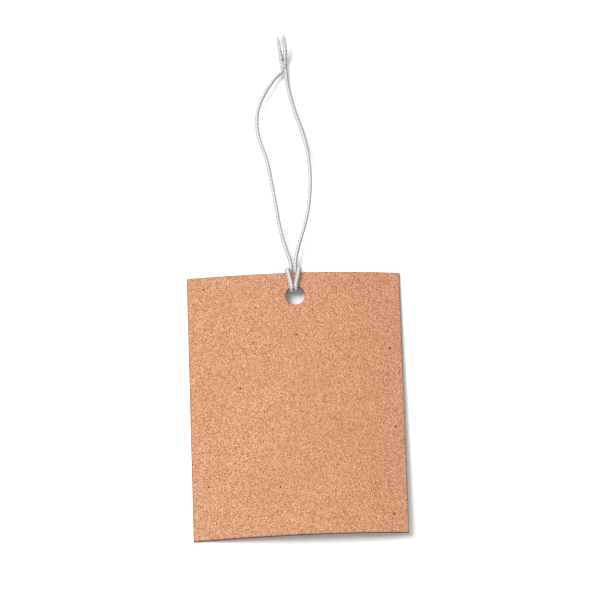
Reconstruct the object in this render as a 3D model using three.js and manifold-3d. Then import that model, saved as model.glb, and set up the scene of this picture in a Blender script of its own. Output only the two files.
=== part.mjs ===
// Price tag: a kraft card on a closed loop of thin white cord, lying on a flat surface.
// Millimetres, +Z up. The origin is on the surface, under the middle of the card.
// +X is to the card's right and +Y runs up the card, past the punched hole and along the cord.

import * as THREE from 'three';
import { mergeVertices } from 'three/addons/utils/BufferGeometryUtils.js';
import Module from 'manifold-3d';

const wasm = await Module();
wasm.setup();

// Card
const CARD_WIDTH = 50;
const CARD_HEIGHT = 65;
const BOARD_THICKNESS = 0.5;

// Hole punched through the card
const HOLE_DIAMETER = 4.5;
const HOLE_FROM_TOP = 5.8;
const HOLE_OFF_CENTRE = 0.35;
const HOLE_SIDES = 48;

// Curl: how far the sides lie under the crown line, the difference between the two sides,
// and how far the crown line leans to the left of the card's own upright
const CURL_SAG = 2.235;
const CURL_SKEW = -0.43;
const CURL_LEAN = THREE.MathUtils.degToRad(5.9);
const LEFT_STRIPS = 4;
const MAIN_STRIPS = 28;
const BLANK_MARGIN = 5;

// Cord, and the room that it keeps to the card's faces, to the card's edge and to itself
const CORD_DIAMETER = 0.9;
const CORD_SIDES = 8;
const FACE_CLEARANCE = 0.15;
const EDGE_CLEARANCE = 0.5;
const CORD_CLEARANCE = 0.1;
const RIM_CLEARANCE = 0.27;

// Hitch, which has settled a little to the left of the hole's middle
const HITCH_STEPS = 80;
const HITCH_OFF_HOLE = -0.28;
const LEG_SPREAD_AT_EDGE = 1.33;
const EDGE_BEND_RADIUS = 0.6;
const BAR_BEND_RADIUS = 0.55;
const STUB_PAST_BAR = 0.15;
const TURNING_ROOM = 0.1;

// Loop strands: steps along each, and the gap to a piece that they meet end to end
const STRAND_STEPS = 36;
const END_GAP = 0.3;

// Knot: its wraps round the two strands inside it
const KNOT_WRAP_RADIUS = 0.45;
const KNOT_WRAP_PITCH = 0.82;
const KNOT_WRAP_TURNS = 1.75;
const KNOT_STEPS_PER_TURN = 16;
const KNOT_STUB_LENGTH = 0.5;
const KNOT_OFF_SURFACE = 0.02;

// Tails
const TAIL_STEPS = 8;

const cordRadius = CORD_DIAMETER / 2;
const topEdge = CARD_HEIGHT / 2;
const holeY = topEdge - HOLE_FROM_TOP;
const cordX = HOLE_OFF_CENTRE + HITCH_OFF_HOLE;

// How far a point of the card lies to the right of the straight crown line
const crownShift = CARD_WIDTH / 2 * (Math.cos(CURL_LEAN) - 1) - CARD_HEIGHT / 2 * Math.sin(CURL_LEAN);

function acrossCrown(x, y) {
  return x * Math.cos(CURL_LEAN) + y * Math.sin(CURL_LEAN) + crownShift;
}

// Height of the curled board's underside before it is set down. The board is bent one way
// only, so this depends on nothing but the distance from the crown line.
function curlProfile(across) {
  const share = across / (CARD_WIDTH / 2);
  return -CURL_SAG * share ** 2 + CURL_SKEW * share ** 3;
}

function curlHeight(x, y) {
  return curlProfile(acrossCrown(x, y));
}

// The card rests on both its left corners and on its top right corner.
const topLeft = curlHeight(-CARD_WIDTH / 2, topEdge);
const topRight = curlHeight(CARD_WIDTH / 2, topEdge);
const bottomLeft = curlHeight(-CARD_WIDTH / 2, -topEdge);
const restSlopeX = (topLeft - topRight) / CARD_WIDTH;
const restSlopeY = (bottomLeft - topLeft) / CARD_HEIGHT;
const restLift = -(topRight + bottomLeft) / 2;

function undersideHeight(x, y) {
  return curlHeight(x, y) + restSlopeX * x + restSlopeY * y + restLift;
}

function toSolid(geometry) {
  const plain = geometry.clone();
  plain.deleteAttribute('normal');
  plain.deleteAttribute('uv');
  const merged = mergeVertices(plain, 1e-4);
  return new wasm.Manifold(new wasm.Mesh({
    numProp: 3,
    vertProperties: new Float32Array(merged.attributes.position.array),
    triVerts: new Uint32Array(merged.index.array),
  }));
}

function toGeometry(solid) {
  const mesh = solid.getMesh();
  const geometry = new THREE.BufferGeometry();
  geometry.setAttribute('position', new THREE.BufferAttribute(new Float32Array(mesh.vertProperties), 3));
  geometry.setIndex(new THREE.BufferAttribute(new Uint32Array(mesh.triVerts), 1));
  geometry.computeVertexNormals();
  return geometry;
}

function roundSection() {
  const corners = [];
  for (let side = 0; side < CORD_SIDES; side += 1) {
    const angle = (side + 0.5) * 2 * Math.PI / CORD_SIDES;
    corners.push(new THREE.Vector2(cordRadius * Math.cos(angle), cordRadius * Math.sin(angle)));
  }
  return new THREE.Shape(corners);
}

function cordAlong(points, steps) {
  const path = new THREE.CatmullRomCurve3(points, false, 'centripetal');
  return new THREE.ExtrudeGeometry(roundSection(), { extrudePath: path, steps, bevelEnabled: false });
}

// Card: a bent blank, extruded along its crown line, sheared to its resting tilt, then cut
// square and punched from above. A strip of the bend ends at each corner that the card rests on.
function makeCard() {
  const leftCorner = acrossCrown(-CARD_WIDTH / 2, topEdge);
  const lowestCorner = acrossCrown(-CARD_WIDTH / 2, -topEdge);
  const rightCorner = acrossCrown(CARD_WIDTH / 2, topEdge);
  const stations = [lowestCorner - BLANK_MARGIN];
  for (let strip = 0; strip < LEFT_STRIPS; strip += 1) {
    stations.push(THREE.MathUtils.lerp(lowestCorner, leftCorner, strip / LEFT_STRIPS));
  }
  for (let strip = 0; strip <= MAIN_STRIPS; strip += 1) {
    stations.push(THREE.MathUtils.lerp(leftCorner, rightCorner, strip / MAIN_STRIPS));
  }
  stations.push(rightCorner + BLANK_MARGIN);
  const lowerEdge = stations.map((across) => new THREE.Vector2(across, curlProfile(across)));
  const upperEdge = lowerEdge.map((point) => new THREE.Vector2(point.x, point.y + BOARD_THICKNESS));
  const section = new THREE.Shape([...lowerEdge, ...upperEdge.reverse()]);
  const length = CARD_WIDTH + CARD_HEIGHT;
  const blank = new THREE.ExtrudeGeometry(section, { depth: length, bevelEnabled: false });
  blank.translate(0, 0, -length / 2);

  const crossways = new THREE.Vector3(Math.cos(CURL_LEAN), Math.sin(CURL_LEAN), 0);
  const up = new THREE.Vector3(0, 0, 1);
  const downCrown = new THREE.Vector3().crossVectors(crossways, up);
  const turn = new THREE.Matrix4().makeBasis(crossways, up, downCrown);
  turn.setPosition(crossways.clone().multiplyScalar(-crownShift));
  const setDown = new THREE.Matrix4().set(
    1, 0, 0, 0,
    0, 1, 0, 0,
    restSlopeX, restSlopeY, 1, restLift,
    0, 0, 0, 1,
  );
  blank.applyMatrix4(turn).applyMatrix4(setDown);

  const cutDepth = CARD_WIDTH;
  const outline = new THREE.BoxGeometry(CARD_WIDTH, CARD_HEIGHT, cutDepth);
  const punch = new THREE.CylinderGeometry(HOLE_DIAMETER / 2, HOLE_DIAMETER / 2, cutDepth, HOLE_SIDES);
  punch.rotateX(Math.PI / 2);
  punch.translate(HOLE_OFF_CENTRE, holeY, 0);
  return toGeometry(toSolid(blank).intersect(toSolid(outline)).subtract(toSolid(punch)));
}

// Hitch levels: the back runs lie against the board's underside, the bar passes behind
// them, and the front legs lie on the board's face
const underside = undersideHeight(cordX, topEdge);
const undersideAtHole = undersideHeight(cordX, holeY);
const backHeight = underside - FACE_CLEARANCE - cordRadius;
const barHeight = backHeight - CORD_DIAMETER - CORD_CLEARANCE;
const frontHeight = undersideAtHole + BOARD_THICKNESS + FACE_CLEARANCE + cordRadius;
const strandOffset = cordRadius + CORD_CLEARANCE / 2;
const legOffset = strandOffset + CORD_DIAMETER + CORD_CLEARANCE;
const overEdgeY = topEdge + EDGE_CLEARANCE + cordRadius;
const stubEndY = overEdgeY + cordRadius + STUB_PAST_BAR;
const loopRootY = stubEndY + cordRadius + TURNING_ROOM;

// One half of the hitch, from the strand's stub to the middle of the bar
function hitchHalf(side) {
  const through = (frontHeight - backHeight) / 2;
  const fromHoleMiddle = HITCH_OFF_HOLE + side * strandOffset;
  const passRadius = HOLE_DIAMETER / 2 - RIM_CLEARANCE - cordRadius;
  const passY = holeY + Math.sqrt(passRadius ** 2 - fromHoleMiddle ** 2);
  const points = [
    [strandOffset, stubEndY, backHeight],
    [strandOffset, stubEndY - CORD_DIAMETER, backHeight],
    [strandOffset, topEdge, backHeight],
    [strandOffset, (topEdge + passY + through) / 2, backHeight],
    [strandOffset, passY + 1.6 * through, backHeight],
  ];
  for (let part = 0; part <= 6; part += 1) {
    const angle = Math.PI * (part / 6 - 0.5);
    points.push([
      strandOffset,
      passY + through * (1 - Math.cos(angle)),
      backHeight + through * (1 + Math.sin(angle)),
    ]);
  }
  const frontEndY = overEdgeY - EDGE_BEND_RADIUS;
  const frontStartY = passY + through;
  for (const share of [0.35, 0.7]) {
    points.push([
      THREE.MathUtils.lerp(strandOffset, LEG_SPREAD_AT_EDGE, share),
      THREE.MathUtils.lerp(frontStartY, frontEndY, share),
      frontHeight,
    ]);
  }
  for (let part = 0; part <= 3; part += 1) {
    const angle = Math.PI / 2 * part / 3;
    points.push([
      THREE.MathUtils.lerp(LEG_SPREAD_AT_EDGE, legOffset, part / 3),
      frontEndY + EDGE_BEND_RADIUS * Math.sin(angle),
      frontHeight - EDGE_BEND_RADIUS * (1 - Math.cos(angle)),
    ]);
  }
  points.push([legOffset, overEdgeY, (frontHeight - EDGE_BEND_RADIUS + barHeight + BAR_BEND_RADIUS) / 2]);
  for (let part = 0; part <= 3; part += 1) {
    const angle = Math.PI / 2 * part / 3;
    points.push([
      legOffset - BAR_BEND_RADIUS * (1 - Math.cos(angle)),
      overEdgeY,
      barHeight + BAR_BEND_RADIUS * (1 - Math.sin(angle)),
    ]);
  }
  return points.map(([x, y, z]) => new THREE.Vector3(cordX + side * x, y, z));
}

function makeHitch() {
  const middleOfBar = new THREE.Vector3(cordX, overEdgeY, barHeight);
  const route = [...hitchHalf(-1), middleOfBar, ...hitchHalf(1).reverse()];
  return cordAlong(route, HITCH_STEPS);
}

// Loop: points are across and along from the middle of the loop's root, and above the surface
function loopPoint([across, along, height]) {
  return new THREE.Vector3(cordX + across, loopRootY + along, height);
}

const LEFT_STRAND = [
  [-0.81, 1.5, 1.66],
  [-1.74, 4.7, 1.85],
  [-2.82, 9.3, 2.1],
  [-3.69, 15.2, 2.3],
  [-4.5, 20.7, 2.4],
  [-5.42, 26.2, 2.45],
  [-6.6, 30.15, 2.45],
  [-7.36, 33.2, 2.4],
  [-7.54, 36.2, 2.3],
  [-7.09, 39.6, 1.95],
  [-5.56, 43.45, 1.6],
  [-3.09, 47.3, 1.28],
];

const RIGHT_STRAND = [
  [0.62, 1.2, 1.66],
  [0.87, 2.6, 1.75],
  [1.52, 5.1, 2.0],
  [2.86, 9.3, 2.4],
  [3.94, 13.6, 2.8],
  [4.47, 17.6, 3.0],
  [4.67, 21.8, 2.8],
  [4.52, 25.6, 2.15],
  [4.06, 29.4, 1.5],
  [3.43, 32.6, 0.95],
  [2.66, 35.6, 0.58],
  [1.48, 39.4, 0.48],
  [0.48, 43.4, 0.48],
  [-0.08, 46.6, 0.6],
];

// Knot: where it sits, and where each strand enters and each tail leaves, from its middle
const KNOT_AT = [-0.86, 50.89];
const KNOT_LEFT_IN = [-0.5, -1.25, 0];
const KNOT_RIGHT_IN = [0.42, -1.35, 0];
const KNOT_LEFT_OUT = [-0.42, 1.25, 0.15];
const KNOT_RIGHT_OUT = [0.52, 1.25, 0.15];
const knotHeight = KNOT_OFF_SURFACE + KNOT_WRAP_RADIUS + cordRadius;

function knotPoint([across, along, up]) {
  return loopPoint([KNOT_AT[0] + across, KNOT_AT[1] + along, knotHeight + up]);
}

// The direction of each strand and tail at the knot, along which its end faces the knot's stub
const LEFT_IN_DIRECTION = new THREE.Vector3(-0.58, -0.81, 0.1).normalize();
const RIGHT_IN_DIRECTION = new THREE.Vector3(0.11, -0.99, -0.09).normalize();
const LEFT_OUT_DIRECTION = new THREE.Vector3(-0.14, 0.96, 0.24).normalize();
const RIGHT_OUT_DIRECTION = new THREE.Vector3(0.02, 0.96, 0.28).normalize();

function along(point, direction, distance) {
  return point.clone().addScaledVector(direction, distance);
}

function makeKnot() {
  const wrap = [];
  const wrapSteps = Math.round(KNOT_WRAP_TURNS * KNOT_STEPS_PER_TURN);
  for (let step = 0; step <= wrapSteps; step += 1) {
    const turn = step / KNOT_STEPS_PER_TURN - KNOT_WRAP_TURNS / 2;
    const angle = 2 * Math.PI * turn - Math.PI / 2;
    wrap.push(knotPoint([
      KNOT_WRAP_RADIUS * Math.cos(angle),
      KNOT_WRAP_PITCH * turn,
      KNOT_WRAP_RADIUS * Math.sin(angle),
    ]));
  }
  const ends = [
    [KNOT_LEFT_IN, LEFT_IN_DIRECTION, KNOT_RIGHT_OUT, RIGHT_OUT_DIRECTION],
    [KNOT_RIGHT_IN, RIGHT_IN_DIRECTION, KNOT_LEFT_OUT, LEFT_OUT_DIRECTION],
  ];
  let solid = toSolid(cordAlong(wrap, wrapSteps));
  for (const [entry, entryDirection, exit, exitDirection] of ends) {
    const inside = knotPoint(entry);
    const outside = knotPoint(exit);
    const core = [
      along(inside, entryDirection, KNOT_STUB_LENGTH),
      inside,
      inside.clone().lerp(outside, 0.5),
      outside,
      along(outside, exitDirection, KNOT_STUB_LENGTH),
    ];
    solid = solid.add(toSolid(cordAlong(core, 2 * TAIL_STEPS)));
  }
  return toGeometry(solid);
}

function makeStrand(side, points, knotEntry, direction) {
  const entry = knotPoint(knotEntry);
  const end = along(entry, direction, KNOT_STUB_LENGTH + END_GAP);
  const route = [
    loopPoint([side * strandOffset, 0, backHeight]),
    ...points.map(loopPoint),
    along(end, direction, CORD_DIAMETER),
    end,
  ];
  return cordAlong(route, STRAND_STEPS);
}

// Tails: the two cut ends of the cord, lifting off the surface beyond the knot
const LEFT_TAIL = [
  [-1.48, 54.4, 2.1],
  [-1.54, 55.7, 2.9],
  [-1.69, 57.35, 3.8],
];

const RIGHT_TAIL = [
  [-0.26, 54.3, 2.2],
  [-0.27, 55.8, 3.15],
  [-0.21, 57.65, 4.1],
];

function makeTail(points, knotExit, direction) {
  const start = along(knotPoint(knotExit), direction, KNOT_STUB_LENGTH + END_GAP);
  const route = [start, along(start, direction, CORD_DIAMETER), ...points.map(loopPoint)];
  return cordAlong(route, TAIL_STEPS);
}

// Finishes: uncoated brown board and matt white cotton
function kraftBoard() {
  return new THREE.MeshStandardMaterial({ color: 0xd89f7b, roughness: 0.9, metalness: 0 });
}

function whiteCotton() {
  return new THREE.MeshStandardMaterial({ color: 0xf1f1ee, roughness: 0.85, metalness: 0 });
}

function addMesh(group, name, geometry, material) {
  const mesh = new THREE.Mesh(geometry, material);
  mesh.name = name;
  group.add(mesh);
}

// The hitch turns on the card, and the loop swings on the hitch.
const card = new THREE.Group();
const hitch = new THREE.Group();
const loop = new THREE.Group();
card.add(hitch);
hitch.add(loop);

const leftStrand = makeStrand(-1, LEFT_STRAND, KNOT_LEFT_IN, LEFT_IN_DIRECTION);
const rightStrand = makeStrand(1, RIGHT_STRAND, KNOT_RIGHT_IN, RIGHT_IN_DIRECTION);
const leftTail = makeTail(LEFT_TAIL, KNOT_LEFT_OUT, LEFT_OUT_DIRECTION);
const rightTail = makeTail(RIGHT_TAIL, KNOT_RIGHT_OUT, RIGHT_OUT_DIRECTION);

addMesh(card, 'tag_card', makeCard(), kraftBoard());
addMesh(hitch, 'string_hitch', makeHitch(), whiteCotton());
addMesh(loop, 'loop_strand_left', leftStrand, whiteCotton());
addMesh(loop, 'loop_strand_right', rightStrand, whiteCotton());
addMesh(loop, 'string_knot', makeKnot(), whiteCotton());
addMesh(loop, 'tail_left', leftTail, whiteCotton());
addMesh(loop, 'tail_right', rightTail, whiteCotton());

const group = new THREE.Group();
group.add(card);

export default group;
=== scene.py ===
import math

import bmesh
import bpy
import numpy as np
from mathutils import Matrix, Vector


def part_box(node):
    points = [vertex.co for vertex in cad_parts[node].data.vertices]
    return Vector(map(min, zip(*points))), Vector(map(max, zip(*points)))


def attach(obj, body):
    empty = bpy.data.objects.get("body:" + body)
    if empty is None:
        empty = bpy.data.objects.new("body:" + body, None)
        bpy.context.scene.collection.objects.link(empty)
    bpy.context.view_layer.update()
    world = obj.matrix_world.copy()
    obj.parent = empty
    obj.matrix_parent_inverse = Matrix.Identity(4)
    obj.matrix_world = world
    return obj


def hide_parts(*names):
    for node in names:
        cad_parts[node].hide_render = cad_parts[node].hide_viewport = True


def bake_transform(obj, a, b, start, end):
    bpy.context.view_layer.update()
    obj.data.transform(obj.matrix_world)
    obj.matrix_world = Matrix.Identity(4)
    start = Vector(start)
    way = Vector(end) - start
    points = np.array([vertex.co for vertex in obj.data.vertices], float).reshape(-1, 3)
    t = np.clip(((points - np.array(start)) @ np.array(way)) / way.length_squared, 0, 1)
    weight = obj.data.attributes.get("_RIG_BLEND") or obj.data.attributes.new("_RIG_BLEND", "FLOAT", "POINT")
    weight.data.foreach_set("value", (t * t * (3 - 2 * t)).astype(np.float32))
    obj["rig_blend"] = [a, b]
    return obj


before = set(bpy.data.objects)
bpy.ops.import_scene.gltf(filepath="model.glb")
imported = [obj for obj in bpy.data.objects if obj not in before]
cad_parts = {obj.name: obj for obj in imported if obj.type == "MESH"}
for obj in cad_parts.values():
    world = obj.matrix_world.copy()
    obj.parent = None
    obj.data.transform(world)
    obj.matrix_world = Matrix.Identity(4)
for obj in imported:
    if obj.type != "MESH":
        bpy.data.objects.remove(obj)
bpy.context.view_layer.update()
MM = 0.001

# Camera. It looks down on the tag from its lower end, a little from the left, through a
# long lens. Its values were fitted to the sides of the card in the photograph.
CAMERA_AZIMUTH = math.radians(-1.74)
CAMERA_ELEVATION = math.radians(70)
CAMERA_DISTANCE = 1.6854
AIM = Vector((1.458, 26.58, 0)) * MM
FOCAL_LENGTH_PX = 7174.5
PICTURE_WIDTH_PX = 600
SENSOR_WIDTH = 36

camera = bpy.data.objects.new("camera", bpy.data.cameras.new("camera"))
bpy.context.scene.collection.objects.link(camera)
camera.data.sensor_width = SENSOR_WIDTH
camera.data.lens = SENSOR_WIDTH * (FOCAL_LENGTH_PX / PICTURE_WIDTH_PX)
camera.data.clip_start = 0.01
back = Vector((
    math.sin(CAMERA_AZIMUTH) * math.cos(CAMERA_ELEVATION),
    -math.cos(CAMERA_AZIMUTH) * math.cos(CAMERA_ELEVATION),
    math.sin(CAMERA_ELEVATION),
))
camera.location = AIM + back * CAMERA_DISTANCE
camera.rotation_euler = back.to_track_quat("Z", "Y").to_euler()
bpy.context.scene.camera = camera

# Floor and light. A white table top under one soft lamp at the upper left, and an even
# white light from all round that fills its shadows.
FLOOR_REACH = 4.0
FLOOR_WHITE = 0.9
KEY_ELEVATION = math.radians(53)
KEY_AZIMUTH = math.radians(157)
KEY_SPREAD = math.radians(42)
KEY_STRENGTH = 3.8
FILL_STRENGTH = 0.75

bm = bmesh.new()
bmesh.ops.create_grid(bm, x_segments=1, y_segments=1, size=FLOOR_REACH)
floor_mesh = bpy.data.meshes.new("floor")
bm.to_mesh(floor_mesh)
bm.free()
floor = bpy.data.objects.new("floor", floor_mesh)
bpy.context.scene.collection.objects.link(floor)
floor_paint = bpy.data.materials.new("white_table")
floor_paint.use_nodes = True
floor_shader = floor_paint.node_tree.nodes["Principled BSDF"]
floor_shader.inputs["Base Color"].default_value = (FLOOR_WHITE, FLOOR_WHITE, FLOOR_WHITE, 1)
floor_shader.inputs["Roughness"].default_value = 1
floor_shader.inputs["Specular IOR Level"].default_value = 0
floor_mesh.materials.append(floor_paint)

key = bpy.data.objects.new("key", bpy.data.lights.new("key", "SUN"))
bpy.context.scene.collection.objects.link(key)
key.data.energy = KEY_STRENGTH
key.data.angle = KEY_SPREAD
to_key = Vector((
    math.cos(KEY_AZIMUTH) * math.cos(KEY_ELEVATION),
    math.sin(KEY_AZIMUTH) * math.cos(KEY_ELEVATION),
    math.sin(KEY_ELEVATION),
))
key.rotation_euler = to_key.to_track_quat("Z", "Y").to_euler()
world = bpy.data.worlds.new("white_room")
world.use_nodes = True
world.node_tree.nodes["Background"].inputs["Color"].default_value = (1, 1, 1, 1)
world.node_tree.nodes["Background"].inputs["Strength"].default_value = FILL_STRENGTH
bpy.context.scene.world = world
bpy.context.scene.view_settings.view_transform = "Standard"

# Card. One rectangle of uncoated kraft board, cut square by a die with its hole punched in
# the same stroke. Its cut edges are a little rounded, front and back. It has curled about a
# crown line that leans to the left, and lies on three of its corners.
card_low, card_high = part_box("tag_card")
CARD_WIDTH = (card_high.x - card_low.x) / MM
CARD_HEIGHT = (card_high.y - card_low.y) / MM
BOARD_THICKNESS = 0.5
HOLE_DIAMETER = 4.5
HOLE_X = 0.35
HOLE_Y = CARD_HEIGHT / 2 - 5.8
CURL_SAG = 2.235
CURL_SKEW = -0.43
CURL_LEAN = math.radians(5.9)
CARD_CELL = 0.5
HOLE_COLLAR_CELLS = 14
HOLE_COLLAR_CUTS = 5
CUT_ROUNDING = 0.07
# Painted shade: a dark band this wide along every cut edge of the face and round the hole.
PAINTED_RIM_SHADE_WIDTH = 0.28
SHARP_EDGE = math.radians(57)
FLAT_EDGE_RISE = 0.1
COLLAR_TOLERANCE = 0.01
NOISE_SLICE = 0.4
GRAIN_PER_MM = 7.6
GRAIN_TURN = 0.62
GRAIN_BAND = (0.42, 0.58)
GRAIN_RELIEF = 0.6
GRAIN_DARK = (0.185, 0.024, 0.001, 1)
GRAIN_LIGHT = (0.612, 0.366, 0.208, 1)
CLOUDS_PER_MM = (0.12, 0.16)
CLOUD_TURN = 0.3
CLOUD_BAND = (0.35, 0.75)
CLOUD_COLOUR = (0.32, 0.14, 0.066, 1)
CLOUD_SHARE = 0.28
# Painted shade: the board's colour grows darker and browner towards its right side, which is turned away
# from the lamp.
RIGHT_SIDE_PAINTED_SHADE_COLOUR = (0.32, 0.12, 0.045, 1)
RIGHT_SIDE_PAINTED_SHADE_SHARE = 0.12
STREAK_SOFTNESS = 0.08
LIGHT_FIBRE_COLOUR = (0.72, 0.44, 0.285, 1)
LIGHT_FIBRE_SHARE = 0.4
LIGHT_FIBRE_RELIEF = 0.5
LIGHT_FIBRE_LIES = ((0.3, 1.0), (1.35, 1.1), (2.4, 0.93), (0.85, 1.2))
DARK_FIBRE_COLOUR = (0.115, 0.03, 0.008, 1)
DARK_FIBRE_SHARE = 0.36
DARK_FIBRE_LIES = ((0.9, 1.0), (1.9, 1.07), (2.9, 0.95))
SPECKS_PER_MM = 0.045
SPECK_TURN = 0.9
SPECK_SHARE = 0.95
SPECK_RADIUS = 0.2
SPECK_SOFT_RADIUS = 0.289
SPECK_COLOUR = (0.04, 0.012, 0.004, 1)
# Colour and strength of the painted shade band along the cut edges and round the hole.
PAINTED_RIM_SHADE_COLOUR = (0.10, 0.042, 0.020, 1)
PAINTED_RIM_SHADE_SHARE = 0.85
PLIES_PER_MM = (1.2, 1.2, 14)
# The cut edge has brown plies like the board, but its tones are painted far darker, as painted shade on the
# edges.
CUT_EDGE_DARK_PAINTED_SHADE = (0.015, 0.006, 0.003, 1)
CUT_EDGE_LIGHT_PAINTED_SHADE = (0.07, 0.03, 0.015, 1)

crown_shift = CARD_WIDTH / 2 * (math.cos(CURL_LEAN) - 1) - CARD_HEIGHT / 2 * math.sin(CURL_LEAN)


def curl_height(x, y):
    across = x * math.cos(CURL_LEAN) + y * math.sin(CURL_LEAN) + crown_shift
    share = across / (CARD_WIDTH / 2)
    return -CURL_SAG * share**2 + CURL_SKEW * share**3


top_left = curl_height(-CARD_WIDTH / 2, CARD_HEIGHT / 2)
top_right = curl_height(CARD_WIDTH / 2, CARD_HEIGHT / 2)
bottom_left = curl_height(-CARD_WIDTH / 2, -CARD_HEIGHT / 2)


def underside_height(x, y):
    slope = (top_left - top_right) / CARD_WIDTH * x + (bottom_left - top_left) / CARD_HEIGHT * y
    return curl_height(x, y) + slope - (top_right + bottom_left) / 2


def finish_piece(name, bm, materials):
    mesh = bpy.data.meshes.new(name)
    bm.to_mesh(mesh)
    bm.free()
    for material in materials:
        mesh.materials.append(material)
    mesh.polygons.foreach_set("use_smooth", [True] * len(mesh.polygons))
    piece = bpy.data.objects.new(name, mesh)
    bpy.context.scene.collection.objects.link(piece)
    return piece


def kraft_material():
    material = bpy.data.materials.new("kraft_board")
    material.use_nodes = True
    tree = material.node_tree
    shader = tree.nodes["Principled BSDF"]
    shader.inputs["Roughness"].default_value = 0.88
    shader.inputs["Specular IOR Level"].default_value = 0.25
    place = tree.nodes.new("ShaderNodeTexCoord")

    def mapped(across, along, turn):
        """The card's plan in cells, so many to a millimetre, turned by an angle."""
        mapping = tree.nodes.new("ShaderNodeMapping")
        mapping.inputs["Scale"].default_value = (across / MM, along / MM, 0)
        mapping.inputs["Rotation"].default_value = (0, 0, turn)
        mapping.inputs["Location"].default_value = (0, 0, NOISE_SLICE)
        tree.links.new(place.outputs["Object"], mapping.inputs["Vector"])
        return mapping.outputs["Vector"]

    def noise(vector, detail, roughness=0.6, distortion=0.0):
        node = tree.nodes.new("ShaderNodeTexNoise")
        node.inputs["Scale"].default_value = 1
        node.inputs["Detail"].default_value = detail
        node.inputs["Roughness"].default_value = roughness
        node.inputs["Distortion"].default_value = distortion
        tree.links.new(vector, node.inputs["Vector"])
        return node.outputs["Fac"]

    def band(value, low, high, out_low=0.0, out_high=1.0):
        """A soft step between two limits."""
        node = tree.nodes.new("ShaderNodeMapRange")
        node.interpolation_type = "SMOOTHSTEP"
        tree.links.new(value, node.inputs["Value"])
        node.inputs["From Min"].default_value = low
        node.inputs["From Max"].default_value = high
        node.inputs["To Min"].default_value = out_low
        node.inputs["To Max"].default_value = out_high
        return node.outputs["Result"]

    def combine(operation, first, second):
        node = tree.nodes.new("ShaderNodeMath")
        node.operation = operation
        for socket, value in zip(node.inputs, (first, second)):
            if isinstance(value, (int, float)):
                socket.default_value = value
            else:
                tree.links.new(value, socket)
        return node.outputs[0]

    def tint(base, other, share):
        node = tree.nodes.new("ShaderNodeMix")
        node.data_type = "RGBA"
        if isinstance(base, tuple):
            node.inputs["A"].default_value = base
        else:
            tree.links.new(base, node.inputs["A"])
        node.inputs["B"].default_value = other
        tree.links.new(share, node.inputs["Factor"])
        return node.outputs["Result"]

    def streaks(lies, across, along, wander, threshold):
        """Thin streaks that lie several ways. Each lie is a turn and a share of the fineness."""
        strongest = None
        for turn, fineness in lies:
            lie = mapped(across * fineness, along, turn)
            streak = noise(lie, detail=2, roughness=0.5, distortion=wander)
            streak = band(streak, threshold, threshold + STREAK_SOFTNESS)
            strongest = streak if strongest is None else combine("MAXIMUM", strongest, streak)
        return strongest

    grain = noise(mapped(GRAIN_PER_MM, GRAIN_PER_MM, GRAIN_TURN), detail=1)
    cloud = noise(mapped(*CLOUDS_PER_MM, CLOUD_TURN), detail=3)
    colour = tint(GRAIN_DARK, GRAIN_LIGHT, band(grain, *GRAIN_BAND))
    colour = tint(colour, CLOUD_COLOUR, band(cloud, *CLOUD_BAND, 0, CLOUD_SHARE))
    parts = tree.nodes.new("ShaderNodeSeparateXYZ")
    tree.links.new(place.outputs["Object"], parts.inputs["Vector"])
    # Painted shade: darker and browner towards the right side, which is turned away from the lamp.
    right_side_painted_shade = band(parts.outputs["X"], -CARD_WIDTH / 4 * MM, CARD_WIDTH / 2 * MM, 0, RIGHT_SIDE_PAINTED_SHADE_SHARE)
    colour = tint(colour, RIGHT_SIDE_PAINTED_SHADE_COLOUR, right_side_painted_shade)
    fibres = streaks(LIGHT_FIBRE_LIES, across=7.5, along=2.6, wander=0.6, threshold=0.60)
    colour = tint(colour, LIGHT_FIBRE_COLOUR, combine("MULTIPLY", fibres, LIGHT_FIBRE_SHARE))
    darks = streaks(DARK_FIBRE_LIES, across=7.0, along=3.0, wander=0.4, threshold=0.61)
    colour = tint(colour, DARK_FIBRE_COLOUR, combine("MULTIPLY", darks, DARK_FIBRE_SHARE))

    speck_cells = tree.nodes.new("ShaderNodeTexVoronoi")
    speck_cells.voronoi_dimensions = "2D"
    speck_cells.inputs["Scale"].default_value = 1
    tree.links.new(mapped(SPECKS_PER_MM, SPECKS_PER_MM, SPECK_TURN), speck_cells.inputs["Vector"])
    speck_edge = [radius * SPECKS_PER_MM for radius in (SPECK_RADIUS, SPECK_SOFT_RADIUS)]
    speck = band(speck_cells.outputs["Distance"], *speck_edge, SPECK_SHARE, 0)
    colour = tint(colour, SPECK_COLOUR, speck)

    flat = tree.nodes.new("ShaderNodeVectorMath")
    flat.operation = "MULTIPLY"
    flat.inputs[1].default_value = (1, 1, 0)
    tree.links.new(place.outputs["Object"], flat.inputs[0])
    from_hole = tree.nodes.new("ShaderNodeVectorMath")
    from_hole.operation = "DISTANCE"
    from_hole.inputs[1].default_value = (HOLE_X * MM, HOLE_Y * MM, 0)
    tree.links.new(flat.outputs["Vector"], from_hole.inputs[0])
    rim_gap = combine("SUBTRACT", from_hole.outputs["Value"], HOLE_DIAMETER / 2 * MM)
    for socket, half in (("X", CARD_WIDTH / 2), ("Y", CARD_HEIGHT / 2)):
        side_gap = combine("SUBTRACT", half * MM, combine("ABSOLUTE", parts.outputs[socket], 0))
        rim_gap = combine("MINIMUM", rim_gap, side_gap)
    # Painted shade: the face darkens within a narrow band along every cut edge and round the hole, where the
    # edges fall into shade.
    painted_rim_shade = band(rim_gap, 0, PAINTED_RIM_SHADE_WIDTH * MM, PAINTED_RIM_SHADE_SHARE, 0)
    colour = tint(colour, PAINTED_RIM_SHADE_COLOUR, painted_rim_shade)
    tree.links.new(colour, shader.inputs["Base Color"])

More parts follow.
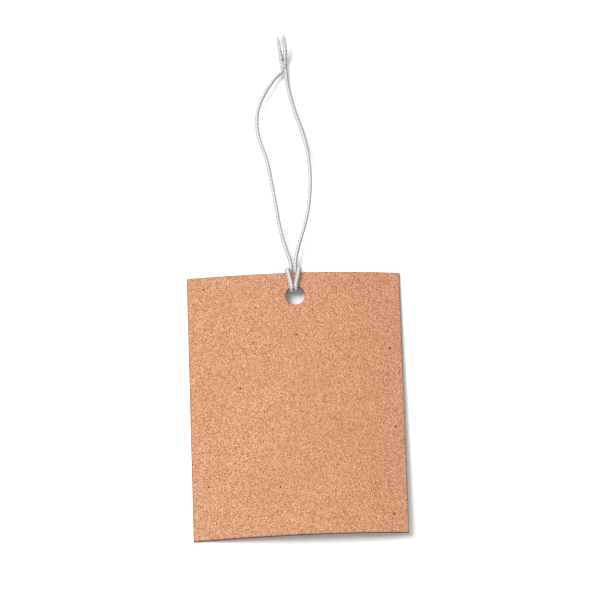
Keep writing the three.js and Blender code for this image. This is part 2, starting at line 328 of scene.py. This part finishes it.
    grain_height = combine("MULTIPLY", grain, GRAIN_RELIEF)
    fibre_height = combine("MULTIPLY", fibres, LIGHT_FIBRE_RELIEF)
    height = combine("ADD", grain_height, fibre_height)
    bump = tree.nodes.new("ShaderNodeBump")
    bump.inputs["Strength"].default_value = 0.2
    bump.inputs["Distance"].default_value = 0.04 * MM
    tree.links.new(height, bump.inputs["Height"])
    tree.links.new(bump.outputs["Normal"], shader.inputs["Normal"])
    return material


# Partly painted shade: the cut edge keeps the board's ply grain, in tones far darker than the board that
# stand in for the shade on its edges.
def cut_edge_material():
    material = bpy.data.materials.new("kraft_cut_edge_painted_shade")
    material.use_nodes = True
    tree = material.node_tree
    shader = tree.nodes["Principled BSDF"]
    shader.inputs["Roughness"].default_value = 1
    shader.inputs["Specular IOR Level"].default_value = 0.1
    place = tree.nodes.new("ShaderNodeTexCoord")
    mapping = tree.nodes.new("ShaderNodeMapping")
    mapping.inputs["Scale"].default_value = [s / MM for s in PLIES_PER_MM]
    plies = tree.nodes.new("ShaderNodeTexNoise")
    plies.inputs["Scale"].default_value = 1
    plies.inputs["Detail"].default_value = 3
    ramp = tree.nodes.new("ShaderNodeValToRGB")
    ramp.color_ramp.elements[0].position = 0.35
    ramp.color_ramp.elements[0].color = CUT_EDGE_DARK_PAINTED_SHADE
    ramp.color_ramp.elements[1].position = 0.7
    ramp.color_ramp.elements[1].color = CUT_EDGE_LIGHT_PAINTED_SHADE
    tree.links.new(place.outputs["Object"], mapping.inputs["Vector"])
    tree.links.new(mapping.outputs["Vector"], plies.inputs["Vector"])
    tree.links.new(plies.outputs["Fac"], ramp.inputs["Fac"])
    tree.links.new(ramp.outputs["Color"], shader.inputs["Base Color"])
    bump = tree.nodes.new("ShaderNodeBump")
    bump.inputs["Strength"].default_value = 0.6
    bump.inputs["Distance"].default_value = 0.05 * MM
    tree.links.new(plies.outputs["Fac"], bump.inputs["Height"])
    tree.links.new(bump.outputs["Normal"], shader.inputs["Normal"])
    return material


bm = bmesh.new()
columns = round(CARD_WIDTH / CARD_CELL)
rows = round(CARD_HEIGHT / CARD_CELL)
bmesh.ops.create_grid(bm, x_segments=columns, y_segments=rows, size=0.5)
bmesh.ops.scale(bm, vec=(CARD_WIDTH, CARD_HEIGHT, 1), verts=bm.verts)
collar_x = round(HOLE_X / CARD_CELL) * CARD_CELL
collar_y = round(HOLE_Y / CARD_CELL) * CARD_CELL
collar = HOLE_COLLAR_CELLS * CARD_CELL / 2


def in_collar(point, tolerance=0):
    reach = collar + tolerance
    return abs(point.x - collar_x) < reach and abs(point.y - collar_y) < reach


bmesh.ops.delete(bm, geom=[f for f in bm.faces if in_collar(f.calc_center_median())], context="FACES")
open_edges = [e for e in bm.edges if e.is_boundary]
square = [e for e in open_edges if all(in_collar(v.co, COLLAR_TOLERANCE) for v in e.verts)]
ring = bmesh.ops.create_circle(
    bm, cap_ends=False, segments=4 * HOLE_COLLAR_CELLS, radius=HOLE_DIAMETER / 2,
    matrix=Matrix.Translation((HOLE_X, HOLE_Y, -collar)) @ Matrix.Rotation(math.pi / 4, 4, "Z"),
)
rim = set(ring["verts"])
circle = list({e for v in rim for e in v.link_edges})
bmesh.ops.bridge_loops(bm, edges=square + circle)
bmesh.ops.scale(bm, vec=(1, 1, 0), verts=bm.verts)
spokes = [e for e in bm.edges if len({v in rim for v in e.verts}) == 2]
bmesh.ops.subdivide_edges(bm, edges=spokes, cuts=HOLE_COLLAR_CUTS, use_grid_fill=False)
bmesh.ops.recalc_face_normals(bm, faces=bm.faces)
if sum(f.normal.z for f in bm.faces) < 0:
    bmesh.ops.reverse_faces(bm, faces=bm.faces)
face_sheet = list(bm.faces)
raised = bmesh.ops.extrude_face_region(bm, geom=face_sheet, use_keep_orig=True)
top_vertices = [g for g in raised["geom"] if isinstance(g, bmesh.types.BMVert)]
bmesh.ops.reverse_faces(bm, faces=face_sheet)
bmesh.ops.translate(bm, vec=(0, 0, BOARD_THICKNESS), verts=top_vertices)
bmesh.ops.recalc_face_normals(bm, faces=bm.faces)
sides = [f for f in bm.faces if abs(f.normal.z) < 0.5]
for side in sides:
    side.material_index = 1
rims = [e for e in bm.edges if e.calc_face_angle(0) > SHARP_EDGE]
flat_rims = [e for e in rims if abs(e.verts[0].co.z - e.verts[1].co.z) < FLAT_EDGE_RISE]
bmesh.ops.bevel(
    bm, geom=flat_rims, offset=CUT_ROUNDING, offset_type="OFFSET", affect="EDGES",
    segments=2, profile=0.5, material=-1,
)
for vertex in bm.verts:
    vertex.co.z += underside_height(vertex.co.x, vertex.co.y)
bmesh.ops.scale(bm, vec=(MM, MM, MM), verts=bm.verts)
card = finish_piece("kraft_card", bm, [kraft_material(), cut_edge_material()])
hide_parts("tag_card")
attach(card, "card")

# Cord. One length of thin white braided cotton cord. Its route starts at the knot, runs
# down the left strand, makes the hitch and runs back up the right strand. The points of
# both strands are in millimetres. They were moved across until the camera saw them on the
# middle lines of the strands in the photograph, and their heights were estimated from the
# strands' shadows.
CORD_DIAMETER = 0.9
CREST_RADIUS = 0.5
FACE_CLEARANCE = 0.15
FRONT_CLEARANCE = 0.04
EDGE_CLEARANCE = 0.5
CORD_CLEARANCE = 0.1
RIM_CLEARANCE = 0.13
HITCH_OFF_HOLE = -0.28
LEG_SPREAD_AT_EDGE = 1.33
EDGE_BEND_RADIUS = 0.6
BAR_BEND_RADIUS = 0.55
APPROACH_TO_RIM = 1.6
RIM_TURN_STEPS = 6
LEG_STATIONS = (0.35, 0.7)
EDGE_BEND_STEPS = 3
ROUTE_STEPS = 24
STUB_PAST_BAR = 0.15
TURNING_ROOM = 0.1

cord_x = HOLE_X + HITCH_OFF_HOLE
cord_radius = CORD_DIAMETER / 2
top_edge = CARD_HEIGHT / 2
back_height = underside_height(cord_x, top_edge) - FACE_CLEARANCE - cord_radius
bar_height = back_height - CORD_DIAMETER - CORD_CLEARANCE
front_height = underside_height(cord_x, HOLE_Y) + BOARD_THICKNESS + FRONT_CLEARANCE + CREST_RADIUS
strand_offset = cord_radius + CORD_CLEARANCE / 2
leg_offset = strand_offset + CORD_DIAMETER + CORD_CLEARANCE
over_edge_y = top_edge + EDGE_CLEARANCE + cord_radius
stub_end_y = over_edge_y + cord_radius + STUB_PAST_BAR
root_y = stub_end_y + cord_radius + TURNING_ROOM


def mix(a, b, share):
    return a + (b - a) * share


def hitch_half(side):
    """One half of the hitch, from the strand's root to the middle of the bar."""
    through = (front_height - back_height) / 2
    from_hole_middle = HITCH_OFF_HOLE + side * strand_offset
    pass_radius = HOLE_DIAMETER / 2 - RIM_CLEARANCE - cord_radius
    pass_y = HOLE_Y + math.sqrt(pass_radius**2 - from_hole_middle**2)
    points = [
        (strand_offset, stub_end_y, back_height),
        (strand_offset, stub_end_y - CORD_DIAMETER, back_height),
        (strand_offset, top_edge, back_height),
        (strand_offset, (top_edge + pass_y + through) / 2, back_height),
        (strand_offset, pass_y + APPROACH_TO_RIM * through, back_height),
    ]
    for part in range(RIM_TURN_STEPS + 1):
        angle = math.pi * (part / RIM_TURN_STEPS - 0.5)
        points.append((
            strand_offset,
            pass_y + through * (1 - math.cos(angle)),
            back_height + through * (1 + math.sin(angle)),
        ))
    front_end_y = over_edge_y - EDGE_BEND_RADIUS
    for share in LEG_STATIONS:
        points.append((
            mix(strand_offset, LEG_SPREAD_AT_EDGE, share),
            mix(pass_y + through, front_end_y, share),
            front_height,
        ))
    for part in range(EDGE_BEND_STEPS + 1):
        angle = math.pi / 2 * part / EDGE_BEND_STEPS
        points.append((
            mix(LEG_SPREAD_AT_EDGE, leg_offset, part / EDGE_BEND_STEPS),
            front_end_y + EDGE_BEND_RADIUS * math.sin(angle),
            front_height - EDGE_BEND_RADIUS * (1 - math.cos(angle)),
        ))
    middle_height = (front_height - EDGE_BEND_RADIUS + bar_height + BAR_BEND_RADIUS) / 2
    points.append((leg_offset, over_edge_y, middle_height))
    for part in range(EDGE_BEND_STEPS + 1):
        angle = math.pi / 2 * part / EDGE_BEND_STEPS
        points.append((
            leg_offset - BAR_BEND_RADIUS * (1 - math.cos(angle)),
            over_edge_y,
            bar_height + BAR_BEND_RADIUS * (1 - math.sin(angle)),
        ))
    return [(cord_x + side * x, y, z) for x, y, z in points]


LEFT_STRAND = [
    (-0.81, 1.5, 1.66),
    (-1.74, 4.7, 1.85),
    (-2.82, 9.3, 2.1),
    (-3.69, 15.2, 2.3),
    (-4.5, 20.7, 2.4),
    (-5.42, 26.2, 2.45),
    (-6.6, 30.15, 2.45),
    (-7.36, 33.2, 2.4),
    (-7.54, 36.2, 2.3),
    (-7.09, 39.54, 2.1),
    (-5.56, 43.37, 1.82),
    (-3.09, 47.27, 1.5),
]
RIGHT_STRAND = [
    (0.62, 1.2, 1.66),
    (0.87, 2.6, 1.75),
    (1.52, 5.1, 2.0),
    (2.86, 9.3, 2.4),
    (3.94, 13.6, 2.8),
    (4.47, 17.6, 3.0),
    (4.67, 21.8, 2.8),
    (4.52, 25.6, 2.15),
    (4.06, 29.4, 1.5),
    (3.43, 32.6, 0.95),
    (2.66, 35.6, 0.6),
    (1.48, 39.4, 0.52),
    (0.48, 43.4, 0.52),
    (-0.08, 46.6, 0.62),
]
KNOT_AT = (-0.86, 50.79)
KNOT_WRAP_RADIUS = 0.5
KNOT_OFF_SURFACE = 0.02
KNOT_LEFT_IN = (-0.25, -1.2, 0)
KNOT_RIGHT_IN = (0.52, -1.35, 0)
KNOT_LEFT_INSIDE = (-0.2, -0.5, 0)
KNOT_RIGHT_INSIDE = (0.2, -0.5, 0)
knot_height = KNOT_OFF_SURFACE + KNOT_WRAP_RADIUS + CREST_RADIUS


def loop_point(point):
    return (cord_x + point[0], root_y + point[1], point[2])


def knot_point(point):
    return loop_point((KNOT_AT[0] + point[0], KNOT_AT[1] + point[1], knot_height + point[2]))


def between(p, q, start, end, t):
    return (p * (end - t) + q * (t - start)) / (end - start)


def smooth_route(points, spacing):
    """Points evenly spaced along a centripetal curve through the given ones."""
    given = np.array(points, float)
    given = np.vstack([2 * given[0] - given[1], given, 2 * given[-1] - given[-2]])
    fine = [given[1]]
    for a, b, c, d in zip(given, given[1:], given[2:], given[3:]):
        t1 = np.linalg.norm(b - a) ** 0.5
        t2 = t1 + np.linalg.norm(c - b) ** 0.5
        t3 = t2 + np.linalg.norm(d - c) ** 0.5
        for t in np.linspace(t1, t2, ROUTE_STEPS + 1)[1:]:
            ab = between(a, b, 0, t1, t)
            bc = between(b, c, t1, t2, t)
            cd = between(c, d, t2, t3, t)
            fine.append(between(between(ab, bc, 0, t2, t), between(bc, cd, t1, t3, t), t1, t2, t))
    fine = np.array(fine)
    lengths = np.concatenate([[0], np.cumsum(np.linalg.norm(np.diff(fine, axis=0), axis=1))])
    stations = np.linspace(0, lengths[-1], max(2, round(lengths[-1] / spacing)) + 1)
    return np.stack([np.interp(stations, lengths, fine[:, k]) for k in range(3)], axis=1)


# Braid: stitches lie in BRAID_COLUMNS columns along the cord. Neighbouring columns are half
# a stitch apart and their stitches lean opposite ways.
BRAID_COLUMNS = 4
STITCH_LENGTH = 0.92
STITCH_LEAN = 0.35
STITCH_END_DEPTH = 0.75
STITCH_CROWN = 1.9
STITCH_END_CROWN = 4
GROOVE_DEPTH = 0.24
CORD_SIDES = 32
RING_SPACING = 0.08
YARN_GROOVES = 3
YARN_GROOVE_DEPTH = 0.06
YARN_RELIEF = 0.65
YARN_RELIEF_SPAN = 0.2


def cord_frames(points, sizes=(CREST_RADIUS, CREST_RADIUS)):
    """A matrix for each ring of a cord: its place, direction and size."""
    route = smooth_route(points, RING_SPACING)
    tangents = np.gradient(route, axis=0)
    tangents /= np.linalg.norm(tangents, axis=1)[:, None]
    shares = np.linspace(0, 1, len(route))
    radii = np.interp(shares, np.linspace(0, 1, len(sizes)), sizes)
    first = Vector(tangents[0])
    sideways = first.cross((0, 0, 1)).normalized()
    frames = []
    for point, tangent, radius in zip(route, tangents, radii):
        along = Vector(tangent)
        sideways = (sideways - along * sideways.dot(along)).normalized()
        basis = Matrix((sideways, along.cross(sideways), along)).transposed().to_4x4()
        frames.append(Matrix.Translation(Vector(point) * MM) @ basis @ Matrix.Scale(radius * MM, 4))
    return frames


def braid(angle, along):
    """How far out the cord's surface lies, and how high in the relief, which sets the painted shade of its
    grooves. Both are 1 on a crest.
    """
    place = BRAID_COLUMNS * angle / (2 * math.pi)
    column = round(place)
    aside = place - column
    lean = STITCH_LEAN * aside * (-1) ** column
    ahead = (along / STITCH_LENGTH + column / 2 + lean) % 1 - 0.5
    crest = 1 - abs(2 * aside) ** STITCH_CROWN
    crest *= 1 - STITCH_END_DEPTH * abs(2 * ahead) ** STITCH_END_CROWN
    return 1 - GROOVE_DEPTH * (1 - crest), crest


def one_yarn(angle, along):
    """The same two numbers for a loose yarn, which has shallow grooves along it."""
    groove = math.cos(YARN_GROOVES * angle)
    return 1 - YARN_GROOVE_DEPTH * groove, YARN_RELIEF - YARN_RELIEF_SPAN * groove


def new_tubes():
    bm = bmesh.new()
    bm.verts.layers.int.new("column")
    bm.verts.layers.int.new("ring")
    bm.verts.layers.float.new("crest")
    bm.loops.layers.uv.new("UVMap")
    return bm


def add_tube(bm, frames, surface, sides):
    """Sweeps a surface from frame to frame, closes both ends and unwraps the tube."""
    column = bm.verts.layers.int["column"]
    ring = bm.verts.layers.int["ring"]
    crest = bm.verts.layers.float["crest"]
    weave = bm.loops.layers.uv["UVMap"]

    def settle(vertex):
        angle = 2 * math.pi * vertex[column] / sides
        reach, vertex[crest] = surface(angle, vertex[ring] * RING_SPACING)
        vertex.co = frames[vertex[ring]] @ Vector((reach * math.cos(angle), reach * math.sin(angle), 0))

    start = bmesh.ops.create_circle(bm, cap_ends=False, segments=sides, radius=1)
    for number, vertex in enumerate(start["verts"]):
        vertex[column] = number
        settle(vertex)
    first_edges = list({e for v in start["verts"] for e in v.link_edges})
    edges = first_edges
    walls = []
    for number in range(1, len(frames)):
        grown = bmesh.ops.extrude_edge_only(bm, edges=edges)["geom"]
        vertices = [g for g in grown if isinstance(g, bmesh.types.BMVert)]
        for vertex in vertices:
            vertex[ring] = number
            settle(vertex)
        walls.extend(g for g in grown if isinstance(g, bmesh.types.BMFace))
        reached = set(vertices)
        edges = [g for g in grown if isinstance(g, bmesh.types.BMEdge) and set(g.verts) <= reached]
    bmesh.ops.holes_fill(bm, edges=first_edges + edges, sides=0)
    for face in walls:
        columns = [loop.vert[column] for loop in face.loops]
        seam = max(columns) == sides - 1 and min(columns) == 0
        for loop in face.loops:
            place = sides if seam and loop.vert[column] == 0 else loop.vert[column]
            loop[weave].uv = (place / sides, loop.vert[ring] * RING_SPACING)


def finish_cord(name, bm):
    bmesh.ops.recalc_face_normals(bm, faces=bm.faces)
    piece = finish_piece(name, bm, [cotton])
    return piece


def lay_cord(name, frames):
    bm = new_tubes()
    add_tube(bm, frames, braid, CORD_SIDES)
    return finish_cord(name, bm)


# Painted shade: the cotton is coloured darker in the grooves of the braid and yarns, where shade falls, and
# lighter on the crests.
COTTON_GROOVE_PAINTED_SHADE = (0.265, 0.263, 0.257, 1)
COTTON_ON_CRESTS = (0.585, 0.583, 0.575, 1)
COTTON_FIBRE_CELLS = (34, 2.2, 1)
COTTON_FIBRE_TURN = 0.35


def cotton_material():
    material = bpy.data.materials.new("white_cotton")
    material.use_nodes = True
    tree = material.node_tree
    shader = tree.nodes["Principled BSDF"]
    shader.inputs["Roughness"].default_value = 0.95
    shader.inputs["Specular IOR Level"].default_value = 0.1
    crest = tree.nodes.new("ShaderNodeAttribute")
    crest.attribute_name = "crest"
    # Painted shade: the crest value from the braid colours the grooves darker than the crests.
    groove_painted_shade = tree.nodes.new("ShaderNodeValToRGB")
    groove_painted_shade.color_ramp.elements[0].position = 0.1
    groove_painted_shade.color_ramp.elements[0].color = COTTON_GROOVE_PAINTED_SHADE
    groove_painted_shade.color_ramp.elements[1].position = 0.9
    groove_painted_shade.color_ramp.elements[1].color = COTTON_ON_CRESTS
    tree.links.new(crest.outputs["Fac"], groove_painted_shade.inputs["Fac"])
    place = tree.nodes.new("ShaderNodeUVMap")
    place.uv_map = "UVMap"
    mapping = tree.nodes.new("ShaderNodeMapping")
    mapping.inputs["Scale"].default_value = COTTON_FIBRE_CELLS
    mapping.inputs["Rotation"].default_value = (0, 0, COTTON_FIBRE_TURN)
    fibres = tree.nodes.new("ShaderNodeTexNoise")
    fibres.inputs["Scale"].default_value = 1
    fibres.inputs["Detail"].default_value = 4
    fibres.inputs["Roughness"].default_value = 0.7
    tree.links.new(place.outputs["UV"], mapping.inputs["Vector"])
    tree.links.new(mapping.outputs["Vector"], fibres.inputs["Vector"])
    shade = tree.nodes.new("ShaderNodeMapRange")
    shade.inputs["From Min"].default_value = 0.3
    shade.inputs["From Max"].default_value = 0.7
    shade.inputs["To Min"].default_value = 0.8
    shade.inputs["To Max"].default_value = 1.1
    tree.links.new(fibres.outputs["Fac"], shade.inputs["Value"])
    tone = tree.nodes.new("ShaderNodeVectorMath")
    tone.operation = "SCALE"
    tree.links.new(groove_painted_shade.outputs["Color"], tone.inputs[0])
    tree.links.new(shade.outputs["Result"], tone.inputs["Scale"])
    tree.links.new(tone.outputs["Vector"], shader.inputs["Base Color"])
    bump = tree.nodes.new("ShaderNodeBump")
    bump.inputs["Strength"].default_value = 0.7
    bump.inputs["Distance"].default_value = 0.05 * MM
    tree.links.new(fibres.outputs["Fac"], bump.inputs["Height"])
    tree.links.new(bump.outputs["Normal"], shader.inputs["Normal"])
    return material


# Hitch. A lark's head: through the hole, up the front, over the top edge and round behind
# its own two strands, from one cut behind the card to the other.
CUT_BEHIND_EDGE = 0.6
CUT_OVERLAP_RINGS = 2

cotton = cotton_material()
left_route = [*map(knot_point, (KNOT_LEFT_INSIDE, KNOT_LEFT_IN)), *map(loop_point, reversed(LEFT_STRAND))]
right_route = [*map(loop_point, RIGHT_STRAND), *map(knot_point, (KNOT_RIGHT_IN, KNOT_RIGHT_INSIDE))]
left_root = loop_point((-strand_offset, 0, back_height))
right_root = loop_point((strand_offset, 0, back_height))
bar_middle = (cord_x, over_edge_y, bar_height)
whole_cord = cord_frames([
    *left_route, left_root, *hitch_half(-1), bar_middle, *reversed(hitch_half(1)), right_root, *right_route,
])
cut_y = (top_edge - CUT_BEHIND_EDGE) * MM
behind_card = [n for n, f in enumerate(whole_cord) if f.translation.y < cut_y]
left_join = behind_card[0]
right_join = behind_card[-1]
first_ring = left_join - CUT_OVERLAP_RINGS
last_ring = right_join + CUT_OVERLAP_RINGS

hitch = lay_cord("hitch_cord", whole_cord[first_ring : last_ring + 1])
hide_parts("string_hitch")
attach(hitch, "hitch")

# Knot. The cord's two ends are tied together in one overhand knot and pulled tight. What
# shows of it are wraps that lie side by side over the pair of strands, made as one helix.
KNOT_WRAP_PITCH = 0.82
KNOT_WRAP_TURNS = 2.25
KNOT_STEPS_PER_TURN = 16
KNOT_LEFT_OUT = (-0.42, 1.25, 0.15)
KNOT_RIGHT_OUT = (0.52, 1.25, 0.15)

wrap_points = []
for step in range(round(KNOT_WRAP_TURNS * KNOT_STEPS_PER_TURN) + 1):
    turn = step / KNOT_STEPS_PER_TURN - KNOT_WRAP_TURNS / 2
    angle = 2 * math.pi * turn - math.pi / 2
    wrap_points.append(knot_point((
        KNOT_WRAP_RADIUS * math.cos(angle),
        KNOT_WRAP_PITCH * turn,
        KNOT_WRAP_RADIUS * math.sin(angle),
    )))
knot = lay_cord("knot_wraps", cord_frames(wrap_points))
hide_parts("string_knot")
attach(knot, "loop")

# Tails. The two cut ends of the cord stand up from the knot side by side. Beyond a short
# length of braid their yarns have opened, and each thins out to its cut tip. A row of TAILS
# holds the tail's names, where it enters and leaves the knot, the points of its middle line,
# each yarn's way aside, way up and share cut off, and the braid's radii. The middle lines
# were placed over the tails in the photograph, with heights estimated from their shadow.
YARN_SIZES = (0.32, 0.34, 0.34, 0.31, 0.17)
YARN_SIDES = 14
BRAIDED_POINTS = 4
SPREAD_SHARES = (0.2, 0.6, 1, 1, 0.4)
TAILS = (
    (
        "tail_left_cord", "tail_left", KNOT_RIGHT_IN, KNOT_LEFT_OUT,
        [(-1.3, 52.86, 1.75), (-1.5, 53.84, 2.15), (-1.62, 54.8, 2.6),
         (-1.75, 55.66, 3.0), (-1.85, 56.51, 3.4), (-1.94, 57.35, 3.85)],
        [(-0.16, 0, 0.25), (-0.02, 0.12, 0), (0.2, 0, 0.6), (0.05, -0.12, 0.3)],
        (0.52, 0.54, 0.54, 0.5, 0.4),
    ),
    (
        "tail_right_cord", "tail_right", KNOT_LEFT_IN, KNOT_RIGHT_OUT,
        [(-0.32, 52.85, 1.8), (-0.27, 53.83, 2.2), (-0.32, 54.79, 2.65),
         (-0.44, 55.75, 3.1), (-0.53, 56.71, 3.55), (-0.6, 57.68, 4.05)],
        [(-0.34, 0, 0.25), (-0.05, 0.16, 0), (0.32, 0, 0.2), (0.02, -0.16, 0.1)],
        (0.52, 0.54, 0.57, 0.57, 0.46),
    ),
)
for name, node, entry, exit_point, middle, spreads, sizes in TAILS:
    bm = new_tubes()
    route = [*map(knot_point, (entry, exit_point)), *map(loop_point, middle[:BRAIDED_POINTS])]
    add_tube(bm, cord_frames(route, sizes=sizes), braid, CORD_SIDES)
    for aside, above, cut in spreads:
        yarn = [
            (x + aside * share, y, z + above * share)
            for (x, y, z), share in zip(middle[1:], SPREAD_SHARES)
        ]
        yarn[-1] = tuple(mix(tip, before, cut) for tip, before in zip(yarn[-1], yarn[-2]))
        add_tube(bm, cord_frames(list(map(loop_point, yarn)), sizes=YARN_SIZES), one_yarn, YARN_SIDES)
    tail = finish_cord(name, bm)
    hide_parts(node)
    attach(tail, "loop")

# Strands. The two long sides of the loop carry on from the hitch to the knot. Each bends
# with the joint at its root, and beyond the bend it keeps the lie that it has at rest.
BEND_START = -0.5
BEND_END = 0.9


def lay_strand(name, node, frames):
    piece = lay_cord(name, frames)
    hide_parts(node)
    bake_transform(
        piece, "hitch", "loop",
        start=(cord_x * MM, (root_y + BEND_START) * MM, back_height * MM),
        end=(cord_x * MM, (root_y + BEND_END) * MM, back_height * MM),
    )


lay_strand("strand_left_cord", "loop_strand_left", whole_cord[left_join::-1])
lay_strand("strand_right_cord", "loop_strand_right", whole_cord[right_join:])
